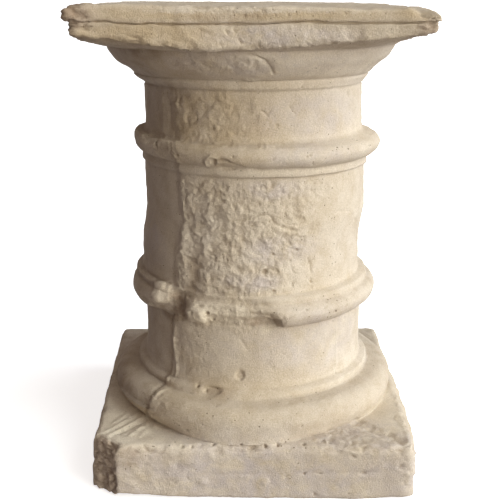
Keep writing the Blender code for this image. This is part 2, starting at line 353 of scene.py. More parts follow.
def fascia_finish(ring, azimuth):
    """The lower fascia, between its arched foot and the groove."""
    reach = slab_finish(ring, azimuth)[0]
    foot = fascia_foot(azimuth, reach)
    share = (ring.level - BELL_TOP) / (GROOVE_FOOT - BELL_TOP)
    return reach, foot + (GROOVE_FOOT + wander(azimuth, GROOVE) * MM - foot) * share


def top_dip(ring, azimuth):
    """How far the slab's top dips on the right, in metres."""
    return SLAB_DIP * ease((ring.radius * np.cos(azimuth * DEGREE) - SLAB_DIP_START) / SLAB_DIP_RUN)


def slab_top_finish(ring, azimuth):
    """The slab's top."""
    reach, level = slab_finish(ring, azimuth)
    return reach, level - top_dip(ring, azimuth)


def upper_fascia_finish(ring, azimuth):
    """The upper fascia, between the groove and the top, which is worn down at the right front corner."""
    reach = slab_finish(ring, azimuth)[0]
    share = (ring.level - GROOVE_TOP) / (SLAB_TOP - GROOVE_TOP)
    inner = ease((ring.radius - SLAB_HALF + SLAB_BORDER) / SLAB_BORDER_FADE)
    shift = wander(azimuth, GROOVE) * (1 - share) + wander(azimuth, SLAB_CREST) * share * inner
    return reach, ring.level + shift * MM - top_dip(ring, azimuth) * share


def ring_finish(ring, azimuth):
    """The lower ring, with the stretch that is broken out of it."""
    reach, level = round_finish(ring, azimuth)
    levels = [row[0] for row in BREAK]
    rows = [wander(azimuth, row[1]) for row in BREAK]
    above = int(np.clip(np.searchsorted(levels, ring.level), 1, len(rows) - 1))
    up = (ring.level - levels[above - 1]) / (levels[above] - levels[above - 1])
    share = rows[above - 1] + (rows[above] - rows[above - 1]) * ease(up)
    return DRUM_RADIUS + (reach - DRUM_RADIUS) * share, level


def upper_ring_finish(ring, azimuth):
    """The upper ring, which rises a little to the left."""
    reach, level = round_finish(ring, azimuth)
    return reach, level - UPPER_RING_TILT * np.cos(azimuth * DEGREE)


def half_round(radius, foot, top, first, last):
    """Radii and levels up a half-round moulding, from its first to its last angle off the horizontal."""
    bulge = (top - foot) / 2
    middle = (top + foot) / 2
    for angle in np.radians(np.linspace(first, last, ARC_STEPS)):
        yield radius - bulge + bulge * math.cos(angle), middle + bulge * math.sin(angle)


def course(finish, points, squares=None):
    """Rings along a run of (radius, level) points, no further apart than the station spacing."""
    squares = squares or [0.0] * len(points)
    rings = []
    for start, end, from_square, to_square in zip(points, points[1:], squares, squares[1:]):
        run = math.dist(start, end) if from_square == to_square else SQUARE_TO_ROUND_RUN
        steps = max(1, math.ceil(run / STATION_SPACING))
        for share in (step / steps for step in range(steps)):
            radius = start[0] + (end[0] - start[0]) * share
            level = start[1] + (end[1] - start[1]) * share
            rings.append(Ring(radius, level, from_square + (to_square - from_square) * share, finish))
    rings.append(Ring(*points[-1], squares[-1], finish))
    return rings


def beside(radius, level, *shifts):
    """Points beside a corner of the profile, from their shifts outwards and upwards."""
    return [(radius + out, level + up) for out, up in shifts]


def all_rings():
    """Every ring of the pedestal, from the middle of its underside to the middle of its top."""
    rings = course(plinth_finish, [(0.02, 0.0), (PLINTH_HALF - 0.004, 0.0)], [1.0, 1.0])[::8]
    rings += course(plinth_finish, [
        *beside(PLINTH_HALF, 0.0, (-0.002, 0), (0, 0.002)),
        *beside(PLINTH_HALF, PLINTH_TOP, (0, -0.009), (-0.0012, -0.005), (-0.0038, -0.0018), (-0.008, 0)),
        (BASE_TORUS_RADIUS - 0.014, PLINTH_TOP + 0.0002),
    ], [1.0] * 6 + [0.0])
    rings += course(base_torus_finish, [
        *half_round(BASE_TORUS_RADIUS, PLINTH_TOP, BASE_TORUS_TOP, -76.0, 80.0),
        (BASE_FILLET_RADIUS + 0.001, BASE_TORUS_TOP + 0.001),
    ])
    rings += course(base_fillet_finish, [
        (BASE_FILLET_RADIUS, BASE_TORUS_TOP + 0.003),
        *beside(BASE_FILLET_RADIUS, BASE_FILLET_TOP, (0, -0.003), (-0.0025, 0)),
    ])
    rings += course(round_finish, [
        *beside(DRUM_RADIUS, BASE_FILLET_TOP, (DRUM_FOOT_FLARE, 0.001), (0.002, 0.008), (0.001, 0.020)),
        (DRUM_RADIUS + 0.001, LOWER_RING_FOOT - 0.002),
    ])
    rings += course(ring_finish, [
        *half_round(LOWER_RING_RADIUS, LOWER_RING_FOOT, LOWER_RING_TOP, -86.0, 62.0),
        (LOWER_FILLET_RADIUS, LOWER_RING_TOP),
        *beside(LOWER_FILLET_RADIUS, LOWER_FILLET_TOP, (0, -0.002), (-0.002, 0)),
    ])
    rings += course(round_finish, [
        (DRUM_RADIUS, LOWER_FILLET_TOP + 0.001), (DRUM_RADIUS, MIDDLE_DRUM_TOP - 0.001),
    ])
    rings += course(upper_ring_finish, [
        *beside(UPPER_FILLET_RADIUS, MIDDLE_DRUM_TOP, (-0.0005, 0), (0, 0.002)),
        (UPPER_FILLET_RADIUS, UPPER_RING_FOOT - 0.001),
        *half_round(UPPER_RING_RADIUS, UPPER_RING_FOOT, UPPER_RING_TOP, -66.0, 72.0),
    ])
    rings += course(round_finish, [
        *beside(NECK_RADIUS, UPPER_RING_TOP, (0.004, 0.0006), (0.0015, 0.0035), (0, 0.009)),
        (NECK_RADIUS, NECK_TOP),
    ])
    bell = [
        (BELL_FOOT_RADIUS + (BELL_TOP_RADIUS - BELL_FOOT_RADIUS) * (1 - (1 - up) ** BELL_FULLNESS),
         BELL_FOOT + (BELL_TOP - BELL_FOOT) * up)
        for up in np.linspace(0.03, 1.0, ARC_STEPS)
    ]
    rings += course(round_finish, [
        (BELL_FOOT_RADIUS, NECK_TOP + 0.0015),
        *beside(BELL_FOOT_RADIUS, BELL_FOOT, (0, -0.002), (-0.001, 0)),
        *bell,
    ])
    rings += course(slab_underside_finish, [
        (BELL_TOP_RADIUS, BELL_TOP), (LOWER_FASCIA_HALF - 0.002, BELL_TOP),
    ], [0.0, 1.0])[1:]
    rings += course(fascia_finish, [
        *beside(LOWER_FASCIA_HALF, BELL_TOP, (-0.0005, 0.002), (0, 0.004)),
        *beside(LOWER_FASCIA_HALF, GROOVE_FOOT, (0, -0.001), (-0.001, 0), (-GROOVE_DEPTH, 0.0005)),
    ], [1.0] * 5)
    rings += course(upper_fascia_finish, [
        (SLAB_HALF - GROOVE_DEPTH - 0.002, GROOVE_TOP - 0.0005),
        *beside(SLAB_HALF, GROOVE_TOP, (-0.001, 0), (0, 0.001)),
        *beside(SLAB_HALF, SLAB_TOP, (0, -0.004), (-0.0012, -0.0012), (-0.004, 0), (-SLAB_BORDER, 0)),
    ], [1.0] * 7)
    rings += course(slab_top_finish, [(SLAB_HALF - 0.032, SLAB_TOP), (0.004, SLAB_TOP)], [1.0, 1.0])[::3]
    return rings


# Grooves and ridges: width and depth in millimetres, then the line's spots as azimuth and level. A negative
# depth is a ridge, and a third number in a spot is its distance from the axis.
LINES = (
    # seam between the left and the front quarter, with its raised lip
    (5, 1.5, (-136.2, 0.21), (-136.7, 0.167), (-136.6, 0.139), (-136.8, 0.128)),
    (5.5, 3.6, (-136.8, 0.127), (-136.7, 0.116), (-135.1, 0.11), (-135, 0.098), (-137, 0.086), (-140, 0.075)),
    (5, -1.8, (-133.8, 0.2), (-134, 0.169), (-132.2, 0.143), (-131.5, 0.128)),
    (5, -1.6, (-131.3, 0.124), (-132.4, 0.116), (-132.6, 0.11), (-132.4, 0.102)),
    # seam between the front and the right quarter
    (4, -1, (-44.6, 0.206), (-43.6, 0.161), (-42.9, 0.133)),
    (4, -0.9, (-43, 0.127), (-42.3, 0.116), (-45, 0.103), (-45.6, 0.092)),
    (4, -0.5, (-45, 0.395), (-45, 0.33), (-45, 0.26)), (4, -0.5, (-45, 0.5), (-45, 0.445)),
    # seams at the back
    (4, -0.9, (45, 0.206), (45.6, 0.16), (45, 0.13), (44.6, 0.11), (45.2, 0.09)),
    (4, -0.7, (45, 0.395), (44.4, 0.33), (45, 0.26)), (4, -0.6, (45, 0.5), (45, 0.445)),
    (4, 0.9, (135, 0.206), (134.5, 0.16), (135, 0.13), (135.4, 0.11), (135, 0.09)),
    (4, -0.8, (135, 0.395), (135.6, 0.33), (135, 0.26)), (4, -0.7, (135, 0.5), (135, 0.445)),
    # ridges on the plinth's top that carry the seam on to the broken corner
    (5, -2.4, (-141.1, 0.073, 0.182), (-138.4, 0.073, 0.221), (-137.2, 0.071, 0.256)),
    (4, 2, (-137.8, 0.073, 0.184), (-136.6, 0.073, 0.214), (-136, 0.073, 0.24)),
    (5, -2.2, (-144, 0.073, 0.19), (-140.8, 0.073, 0.224), (-139.4, 0.072, 0.25)),
    (5, -1.6, (-147.5, 0.073, 0.196), (-143.6, 0.073, 0.226)),
    (5, -1.3, (-131.5, 0.073, 0.204), (-129.6, 0.073, 0.226)),
    (5, -1.8, (-134.4, 0.073, 0.2), (-133.6, 0.073, 0.215), (-132.2, 0.073, 0.236)),
    # middle drum: the hooked crease, the long one after it, the arched hair line, the star crack
    (3.6, 1.9, (-92.5, 0.349), (-88.9, 0.3525), (-84.5, 0.3545), (-82.3, 0.351), (-81.3, 0.3455)),
    (4, 1.3, (-81.3, 0.3455), (-78.5, 0.341), (-75.4, 0.3376), (-71.5, 0.334), (-67.5, 0.3325)),
    (2.4, 0.9, (-49.8, 0.3485), (-42, 0.3495), (-34.3, 0.3446), (-27, 0.3273), (-17.3, 0.309)),
    (2.4, 0.9, (-42.5, 0.3125), (-42.6, 0.297)),
    (2.8, 1.5, (-61.6, 0.296), (-59.4, 0.2892), (-58.6, 0.28), (-57.9, 0.2735)),
    (2.6, 1.2, (-56.6, 0.2945), (-59.4, 0.2892), (-61.4, 0.285)),
    (2.6, 0.9, (-80.5, 0.3035), (-77, 0.3022), (-73, 0.304)),
    (2.6, 1, (-71.6, 0.3095), (-69, 0.3085), (-66.5, 0.307)), (2.4, 0.7, (-78, 0.3075), (-74.5, 0.3068)),
    # middle drum, left: the raised strip beside the seam and the gap that runs down from it
    (5, -1.1, (-127.8, 0.396), (-126.8, 0.365), (-127.2, 0.335)),
    (9, -1.7, (-127.4, 0.335), (-125.8, 0.31), (-124.4, 0.285), (-124.8, 0.258)),
    (17, 2.6, (-121, 0.3), (-117.6, 0.283), (-118.4, 0.266), (-122.4, 0.25), (-127, 0.238)),
    # upper ring: the curl, the crease that runs down from it, the crack at the left
    (3.2, -2.2, (-106.8, 0.4262), (-110.3, 0.4272), (-112.6, 0.4225), (-112.4, 0.4165), (-110, 0.4145)),
    (5.5, 2.6, (-108.6, 0.4238), (-103.1, 0.4222), (-99, 0.417), (-93.4, 0.4138), (-88, 0.413)),
    (4, 2.8, (-143, 0.443), (-141.4, 0.436), (-140.2, 0.429)),
    # neck: soft flutes left of the seam, and scratches
    (7, 0.7, (-147, 0.497), (-146.5, 0.472), (-146, 0.448)),
    (4, -0.5, (-142.6, 0.497), (-142, 0.472), (-142.4, 0.448)),
    (10, 1.1, (-137.5, 0.499), (-136.6, 0.472), (-137, 0.446)),
    (3, 1.5, (-86.6, 0.4805), (-84.8, 0.477), (-83.2, 0.472)), (2.6, 1.2, (-82, 0.48), (-83.8, 0.4755)),
    (3, 1.4, (-79.8, 0.465), (-79, 0.46)), (2.4, 0.9, (-73.6, 0.485), (-71.8, 0.4822), (-70.4, 0.476)),
    (4.5, 1.6, (-34.6, 0.4965), (-34.8, 0.488)),
    # bell: the arc and the chip
    (3.4, 1.7, (-92.5, 0.548), (-88.8, 0.546), (-85.8, 0.5415), (-83.6, 0.535), (-81.8, 0.5285),
      (-80.1, 0.5225)), (4.5, -1.8, (-93.5, 0.5178), (-90.6, 0.516), (-87.5, 0.5172)),
    # lower drum: faint scratches
    (3, 0.8, (-97.2, 0.196), (-95, 0.188), (-93.4, 0.179)), (2.4, 0.6, (-83, 0.157), (-80, 0.1525)),
    # slits under the lower ring at the right
    (3, 1.8, (-53.4, 0.225), (-51, 0.2275)), (3, 1.6, (-46.2, 0.227), (-44.4, 0.23)),
    # slab: scratches on the lower fascia
    (3, 1.2, (-131.2, 0.579), (-130.2, 0.574)), (3, 1.4, (-123.8, 0.568), (-121.4, 0.564)),
    (2.6, 1.2, (-98.6, 0.574), (-97.6, 0.57)), (2.6, 1.1, (-96.4, 0.5765), (-95.6, 0.5725)),
    (2.8, 1.2, (-94.6, 0.565), (-93.6, 0.5605)),
    # plinth: the faint groove along its front, marks and slits
    (4.5, 0.6, (-106, 0.035), (-98, 0.0356), (-91, 0.0352), (-82, 0.036)),
    (4.5, 0.7, (-76, 0.0364), (-66, 0.0366), (-57, 0.0372), (-50, 0.0385)),
    (2.8, 1.3, (-78.8, 0.0312), (-76.6, 0.0325)), (3.6, 2.2, (-58.8, 0.062), (-57.6, 0.0565)),
    (3.4, 1.9, (-55.8, 0.0395), (-54.7, 0.0345)), (3.4, 1.2, (-112.9, 0.032), (-112, 0.026)),
    (3.4, 1.8, (-125.8, 0.067), (-125.2, 0.062)), (4.4, 2.2, (-48, 0.069), (-47, 0.063)),
    (4.4, 2, (-47.6, 0.048), (-47.2, 0.041)), (4, 1.6, (-46.8, 0.026), (-46, 0.019)),
)

# Air holes in the slab's upper fascia, all of one size: azimuth and level, and width and depth in millimetres
PINHOLES = (
    (-94.7, 0.5913), (-92.3, 0.5892), (-88.7, 0.5887), (-96.2, 0.5934), (-101.6, 0.5945), (-84.1, 0.5958),
    (-83.2, 0.5892), (-79.7, 0.5898), (-77.3, 0.5903), (-63.9, 0.5928), (-63.2, 0.5934),
)
PINHOLE_SIZE = (2.2, 1.5)

# Other pits and, where the depth is negative, bumps: azimuth, level, then width and depth in millimetres
PITS = (
    (-67, 0.5061, 3.2, 2), (-119.1, 0.4665, 3, 1.5), (-127.1, 0.4257, 4, 2.4), (-69.4, 0.4279, 3, 1.8),
    (-67.6, 0.4288, 3, 1.8), (-66.1, 0.4172, 3.4, 2.2), (-100.5, 0.429, 2.6, 1.6), (-84, 0.424, 2.4, 1.2),
    (-55, 0.426, 2.4, 1.4), (-83.7, 0.3461, 4, 2), (-48.2, 0.3408, 2.8, 1.6), (-48.1, 0.3355, 2.8, 1.6),
    (-67.5, 0.3077, 3.4, 1.8), (-70.6, 0.2956, 3.4, 1.8), (-83, 0.2824, 7, 2.6), (-79.2, 0.3051, 4, 1.6),
    (-59.3, 0.2641, 4, 2), (-58.9, 0.2559, 3.4, 1.8), (-69.2, 0.2639, 3, 1.5), (-78.5, 0.257, 5, 2.2),
    (-67, 0.235, 3, 1.6), (-55.4, 0.2387, 3, 1.6), (-57.6, 0.2329, 3, 1.8), (-68.2, 0.2416, 2.6, 1.4),
    (-119, 0.2281, 3.2, 2.4), (-111.8, 0.2281, 5.4, 4.2), (-110.2, 0.2176, 4.2, 2.6),
    (-117.3, 0.1257, 4.6, 3), (-112.6, 0.124, 3.4, 2), (-115.5, 0.0824, 3.4, 2.4), (-109.1, 0.0951, 2.6, 1.6),
    (-104.7, 0.1152, 2.6, 1.6), (-74.7, 0.116, 2.6, 1.6), (-71.8, 0.0928, 2.6, 1.6),
    (-70.1, 0.1816, 2.4, 1.2), (-75.3, 0.1724, 2.4, 1.2), (-72.2, 0.0354, 3.6, 2.2), (-67.2, 0.0354, 3.4, 2),
    (-68.9, 0.006, 4, 2.2), (-59, 0.008, 3.6, 2), (-107.3, 0.0242, 11, -1.6), (-85.5, 0.0242, 10, -1.5),
)

# Pits on the plinth's top near its front arris: azimuth, distance from the axis, width and depth
PLINTH_TOP_PITS = (
    (-113.9, 0.216, 4, 2.6), (-111.1, 0.213, 3.6, 2.2), (-104.3, 0.2, 4, 2.2), (-94.5, 0.199, 3.6, 2),
    (-85.6, 0.199, 4.6, 2.4), (-80.9, 0.198, 4.4, 3), (-72, 0.203, 4.8, 3.4), (-64.1, 0.203, 4.4, 3),
    (-63, 0.212, 4, 2.6), (-125, 0.236, 4, 2),
)

# Hollows and, where the depth is negative, swellings with ragged borders: azimuth, level, then width, height
# and depth in millimetres
SCOOPS = (
    (-97, 0.145, 12, 16, 2.8),  # the fingertip dent
    (-149, 0.439, 42, 15, 3),  # upper ring, worn flat at the left
    (-142, 0.015, 60, 34, -3.5),  # plinth, the foot of the broken corner spreads
    (-8, 0.041, 330, 46, -7),  # plinth, the right side bulges
    (-45, 0.07, 22, 18, 2.6),  # plinth, the worn top of the right front corner
    (-109, 0.4205, 8, 8, 3.4),  # the hollow inside the curl
    (-149.5, 0.225, 30, 10, 3.4),  # lower ring, broken facet at the left
    (-138, 0.2425, 32, 25, -6.5),  # the knob at the end of the left ring
    (-128.5, 0.229, 17, 42, 4.2),  # the dark gap beside it
    (-118, 0.2215, 31, 30, -4.6),  # the lump
    (-86.5, 0.2175, 26, 11, 1.6),  # the hollow beside the broken end
    (-102, 0.415, 34, 9, 2),  # upper ring, the lip that is missing below the crease
    (-110, 0.1235, 26, 9, 2.4),  # base fillet, worn away
    (-72, 0.318, 36, 26, 0.9),  # middle drum, below the long crease
    (-134.9, 0.5915, 12, 13, -7.5),  # slab, the jagged tip of the left front corner
    (-86, 0.533, 34, 20, 0.9),  # bell, inside the arc
)

# Where the peeled face of the middle drum begins at the left and, by level, ends at the right, how ragged its
# end is in degrees, and between which levels the face lies
PEEL_START = -129.5
PEEL_END = ((0.25, -76), (0.3, -66), (0.34, -60), (0.39, -58))
PEEL_RAGGED = 9.0
PEEL_LEVELS = (0.252, 0.395)

# How strongly the peeled face crumbles, by azimuth
PEEL_STRENGTH = ((-128, 0.7), (-118, 1), (-100, 1), (-90, 0.6), (-76, 0.45), (-60, 0.35))

# The crumbs' patterns as size, octaves and shift, and how far they are stirred. The flakes' as height,
# size, octaves, shift and how sharply they are cut.
FINE_CRUMBS = (0.0056, 3, 31)
COARSE_CRUMBS = (0.0125, 3, 60)
STIRRING = 3.0
FLAKES = ((1, 0.019, 4, 50, 8), (0.6, 0.0085, 3, 52, 7))

# How far fine crumbs, coarse crumbs and flakes stand out, in millimetres: on the middle drum's peeled face,
# beside the seam, on the lower fascia, on the arrises and on the plinth's broken corner
PEEL_CRUMBS = (1.6, 1.2, 0.62)
SEAM_CRUMBS = (1.5, 0.9, 0)
FASCIA_CRUMBS = (0.6, 0, 0.3)
ARRIS_CRUMBS = (1.2, 0.9, 0)
CORNER_CRUMBS = (2, 5, 0)

# Other crumbled stretches: azimuth, level, width in degrees, height in metres, and the same three heights
CRUMBLED = (
    (-106, 0.229, 62, 0.048, (1.2, 1.4, 0.2)),  # the break
    (-112, 0.473, 54, 0.056, (0.7, 0, 0.5)),  # the neck
    (-144, 0.428, 36, 0.034, (1.2, 1.8, 0)),  # the upper ring's left end
    (-149, 0.235, 26, 0.04, (0.9, 1.2, 0.2)),  # the lower ring's broken facet
    (-122, 0.168, 24, 0.076, (1, 0.2, 0.2)),  # the lower drum beside the seam
    (-140, 0.096, 62, 0.042, (1, 0.4, 0.2)),  # the base torus at the left
    (-122, 0.04, 22, 0.062, (1, 0.5, 0.3)),  # the plinth's front at the left
    (-106, 0.538, 46, 0.03, (0.6, 0.3, 0.3)),  # the bell
    (-100, 0.442, 50, 0.01, (1.2, 0.6, 0)),  # the top of the upper ring
    (-134.2, 0.585, 7, 0.034, (0.8, 2.6, 1.2)),  # the slab's front corners
    (-46.4, 0.58, 5, 0.03, (0.8, 1.8, 0.8)),
    (-56, 0.07, 26, 0.014, (1, 1.2, 0.5)),  # the plinth's front arris at the right
    (-44.5, 0.04, 5, 0.07, (0.8, 1.4, 0.6)),  # its worn right corner
)

# Where the mouldings have gone, and their creases with them
LOST = ((-106, 0.24, 56, 0.05, 1), (-104, 0.12, 44, 0.02, 0.8), (-102, 0.415, 22, 0.014, 0.8))

# Patches of colour: azimuth, level, width in degrees, height in metres, and strength
BLOOM = (
    (-92, 0.03, 90, 0.1, 1),  # the plinth's front
    (-60, 0.03, 44, 0.09, 0.8),
    (-82, 0.568, 40, 0.022, 1),  # the lower fascia
    (-90, 0.536, 80, 0.034, 0.5),  # the bell
    (-54, 0.073, 30, 0.012, 0.7),  # the plinth's top at the right
    (-81.8, 0.386, 30, 0.024, 0.7),  # smears on the middle drum
    (-88.8, 0.269, 26, 0.022, 0.8),
    (-76, 0.308, 34, 0.034, 0.9),
    (-154, 0.3, 26, 0.06, 0.8),
    (-58, 0.19, 70, 0.09, 0.6),  # the lower drum
    (-110, 0.18, 40, 0.05, 0.4),
    (-60, 0.47, 60, 0.05, 0.6),  # the neck
    (-66, 0.426, 50, 0.03, 0.5),
)
OCHRE = (
    (-90, 0.592, 110, 0.018, 0.8),  # the upper fascia
    (-118, 0.568, 50, 0.03, 0.8),
    (-122, 0.535, 44, 0.04, 0.7),  # the bell at the left
    (-110, 0.47, 64, 0.07, 0.8),  # the neck and the upper ring
    (-115, 0.428, 60, 0.03, 0.5),
    (-108, 0.12, 60, 0.04, 0.4),
)
# Lightening, part clean stone and part painted light: painted light on the bell's underside, the drum below
# the break, the upper ring's worn top at its left end, the seam's lip, the plinth's top at both sides and
# under the upper ring
PALE_AND_PAINTED_LIGHT = (
    # painted light on the bell's underside
    (-74, 0.531, 92, 0.028, 0.9),  # the bell
    (-106, 0.224, 30, 0.034, 0.6),  # the break and the drum below it
    (-118.5, 0.218, 9, 0.026, 0.5),
    # painted light on the lower drum below the break
    (-123, 0.202, 6, 0.014, 0.7),
    (-84, 0.208, 6, 0.012, 0.6),  # the broken end's lower edge
    (-108, 0.18, 30, 0.06, 0.4),
    # painted light on the upper ring's worn top at its left end
    (-140, 0.43, 34, 0.03, 1),  # the upper ring's left end
    (-141, 0.24, 14, 0.022, 0.6),  # the knob
    (-149, 0.23, 10, 0.018, 0.6),
    # painted highlight on the lip of the seam, then painted light on the plinth's top at the right and at the
    # left
    (-127, 0.33, 7, 0.14, 0.6),  # the lip of the seam
    (-24, 0.073, 56, 0.016, 0.6),  # the plinth's top at the right
    (-146, 0.074, 60, 0.012, 1),  # and at the left
    (-46, 0.035, 3, 0.07, 0.5),  # its worn right corner
    # painted light lifting the shade under the upper ring
    (-70, 0.41, 90, 0.012, 0.5),  # under the upper ring
)
# Darkening, part real dirt and part painted shade: painted shade under the slab, on the neck and the left of
# the shaft, in and under the broken lower ring, and on the base torus
GRIME_AND_PAINTED_SHADE = (
    # painted shade under the slab and on the bell at the left
    (-136, 0.547, 26, 0.02, 0.7),  # under the slab at the left
    (-145, 0.53, 24, 0.034, 0.6),
    # painted shade on the neck at the left
    (-138, 0.499, 24, 0.02, 0.6),  # the neck
    (-152, 0.48, 26, 0.06, 0.35),
    # dirt and painted shade beside the seam and down the left of the drums
    (-141, 0.36, 8, 0.1, 0.3),  # beside the seam
    (-158, 0.265, 40, 0.06, 0.35),  # the left of the middle drum and the ring below it
    (-158, 0.18, 38, 0.08, 0.25),  # the left of the lower drum
    # painted shade in the gap in the lower ring, under the knob and in the trough beside the raised strip
    (-131, 0.227, 8, 0.04, 1),  # the gap in the lower ring
    (-138.5, 0.213, 15, 0.024, 1),  # under the knob
    (-119, 0.272, 5, 0.03, 0.5),
    # painted shade on the base torus at the left
    (-168, 0.1, 44, 0.036, 0.7),  # the base torus at the left
    (-127.5, 0.058, 5, 0.03, 0.5),  # the plinth beside its broken corner
    (-98, 0.587, 26, 0.01, 0.5),  # the slab
    (-134.8, 0.592, 3.5, 0.026, 1),
    (-135.2, 0.57, 2.5, 0.03, 0.5),
    (-46, 0.576, 3, 0.014, 0.6),
    # painted shade on the broken end and the underside of the lower ring, and the base torus darker on its
    # lower right
    (-90, 0.218, 10, 0.012, 0.8),  # the broken end of the lower ring
    (-62, 0.22, 60, 0.02, 0.25),  # the lower ring's underside
    (-66, 0.098, 46, 0.026, 0.25),  # the base torus
    (-106, 0.122, 14, 0.012, 0.5),  # the worn base fillet
)
POROUS = (
    (-90, 0.592, 46, 0.014, 1), (-64, 0.593, 12, 0.012, 0.8), (-60, 0.232, 50, 0.03, 0.6),
    (-90, 0.09, 90, 0.05, 0.35), (-50, 0.32, 40, 0.14, 0.4), (-60, 0.428, 60, 0.02, 0.4),
)
BROKEN = ((-134.6, 0.59, 9, 0.026, 1), (-46, 0.576, 5, 0.016, 0.8))

# The arrises that wear, as distance from the axis and level, how far the wear reaches from them, and how deep
# the bites in them are on the slab and on the plinth, in millimetres
ARRISES = ((PLINTH_HALF, PLINTH_TOP), (LOWER_FASCIA_HALF, BELL_TOP), (SLAB_HALF, SLAB_TOP))
ARRIS_WEAR_WIDTH = 0.009
SLAB_BITES = 2.2
PLINTH_BITES = 5.0

# Swells of the whole skin and of the two squares: height in millimetres, size, and shift of the pattern
SWELLS = ((0.9, 0.05, 0), (0.45, 0.014, 5))
SQUARE_SWELLS = ((0.7, 0.034, 15), (0.3, 0.012, 17))

# How long the lines' waverings are, in metres, and how wide, in millimetres, how fast a line deepens from its
# ends, and its share of depth there
WAVER_SIZE = 0.009
WAVER_WIDTH = 1.1
LINE_FADE = 5.0
LINE_END = 0.3
# How far out a pit's edge begins, and how ragged a scoop's border is, with rags of what size
PIT_EDGE = 1.35
SCOOP_RAGGED = 0.25
SCOOP_RAGS = 0.01

# How deep a mark is when it counts as a full hollow, and a crease of the profile when its darkening is full,
# in millimetres, how dark such a crease gets with dirt and painted shade, and how far to both sides of a ring
# its crease is taken
FULL_HOLLOW = 2.6
FULL_CREASE = 1.2
CREASE_DIRT_AND_SHADE = 0.4
CREASE_REACH = 0.004

# Patches on the slab's top end at its worn border: depth of the band that counts as top, distance and fade
TOP_BAND = 0.007
TOP_PATCH_REACH = 0.215
TOP_PATCH_FADE = 0.045

# Stains on the stone's body, each where the attribute of its name says and broken up by a noise: that noise's
# size, detail, roughness and distortion, the values between which the stain grows, its least share and colour
STAINS = (
    # clean stone where the rain washes it or the face has broken off, and painted light where faces are to
    # look more brightly lit
    ("pale", 0.040, 5, 0.6, 0, 0.32, 0.58, 0.35, "ecdfc8"),
    # soil and iron
    ("ochre", 0.045, 5, 0.6, 0, 0.30, 0.62, 0.35, "c0aa88"),
    # grey-lilac lime bloom, with brushed borders
    ("bloom", 0.030, 6, 0.65, 0.6, 0.36, 0.62, 0, "cabeb6"),
    # the coarse brown core, which the broken faces show
    ("broken", 0.010, 4, 0.5, 0, 0.25, 0.55, 0.6, "c6b39e"),
)
MIX = {"data_type": "RGBA"}
TIMES = {"operation": "MULTIPLY"}
TIMES_PLUS = {"operation": "MULTIPLY_ADD"}

# The lights: azimuth, elevation and spread in degrees, strength and colour
SUNS = {
    "key": (-20, 35, 50, 2.42, "f0faff"),
    "front": (-50, 5, 50, 2.32, "fffef6"),
    "side": (10, 5, 50, 1.2, "d4e0ff"),
    "top": (-60, 70, 60, 0.45, "fffaf2"),
    "back": (130, 20, 40, 0.2, "fff4e8"),
}


def cut_cylinder(count):
    """A closed cylinder of unit radius, whose wall is cut into rings one unit apart."""
    body = bmesh.new()
    bmesh.ops.create_cone(body, cap_ends=True, segments=SIDES, radius1=1.0, radius2=1.0, depth=count - 1.0)
    uprights = [edge for edge in body.edges if abs(edge.verts[0].co.z - edge.verts[1].co.z) > 0.5]
    bmesh.ops.subdivide_edges(body, edges=uprights, cuts=count - 2)
    return new_object("pedestal_stone", body)


def new_object(name, body):
    """An object made from a bmesh, which is freed."""
    mesh = bpy.data.meshes.new(name)
    body.to_mesh(mesh)
    body.free()
    thing = bpy.data.objects.new(name, mesh)
    bpy.context.scene.collection.objects.link(thing)
    return thing


def read(mesh, collection, name, width):
    """A mesh's values as an array."""
    values = np.empty(len(getattr(mesh, collection)) * width, dtype=np.float32)
    getattr(mesh, collection).foreach_get(name, values)
    return values.reshape(-1, width).astype(float)


def place(mesh, rings):
    """Moves the cylinder's vertices to the casting's outlines, ring by ring."""
    turned = read(mesh, "vertices", "co", 3)
    index = np.rint(turned[:, 2] + (len(rings) - 1) / 2).astype(int)
    azimuth = np.degrees(np.arctan2(turned[:, 1], turned[:, 0]))
    aside = gap(azimuth, -90.0)
    azimuth = gap(-90.0 + aside - FRONT_CROWDING * np.sin(aside * DEGREE) / DEGREE, 0.0)
    across, along = np.cos(azimuth * DEGREE), np.sin(azimuth * DEGREE)
    reach = np.zeros(len(turned))
    level = np.zeros(len(turned))
    order = np.argsort(index, kind="stable")
    starts = np.searchsorted(index[order], np.arange(len(rings) + 1))
    for number, ring in enumerate(rings):
        members = order[starts[number] : starts[number + 1]]
        reach[members], level[members] = ring.finish(ring, azimuth[members])
    square = np.array([ring.square for ring in rings])[index]
    left = np.clip(-across, 0.0, None) ** 2 * (1 - square)
    right = np.clip(across, 0.0, None) ** 2 * (1 - square)
    reach += (wander(level, LEFT_FILL) * left + wander(level, RIGHT_FILL) * right) * MM
    level += wander(level, LEFT_RISE) * left * MM
    drift = wander(level, DRIFT) * (1 - square)
    placed = np.stack([reach * across + drift, reach * along, level], axis=1)
    mesh.vertices.foreach_set("co", placed.astype(np.float32).ravel())
    mesh.update()
    outward = read(mesh, "vertex_normals", "vector", 3)
    wavering = np.stack([lumps(placed, WAVER_SIZE, 2, shift) for shift in (61.0, 62.3, 63.6)], axis=1)
    return Skin(placed, placed + WAVER_WIDTH * MM * wavering, outward, azimuth, level, reach, index)


def arris_wear(rings):
    """How worn each ring is, from its distance to the nearest arris."""
    wear = []
    for ring in rings:
        distance = min(math.dist((ring.radius, ring.level), arris) for arris in ARRISES)
        wear.append(math.exp(-((distance / ARRIS_WEAR_WIDTH) ** 2)) * ring.square)
    return np.array(wear)


def spot(skin, azimuth, level, radius=None):
    """The point of the skin at this azimuth and level and, where it is given, distance from the axis."""
    miss = (gap(skin.azimuth, azimuth) * DEGREE * skin.reach) ** 2 + (skin.level - level) ** 2
    if radius is not None:
        miss = miss + (skin.reach - radius) ** 2
    return skin.place[np.argmin(miss)]


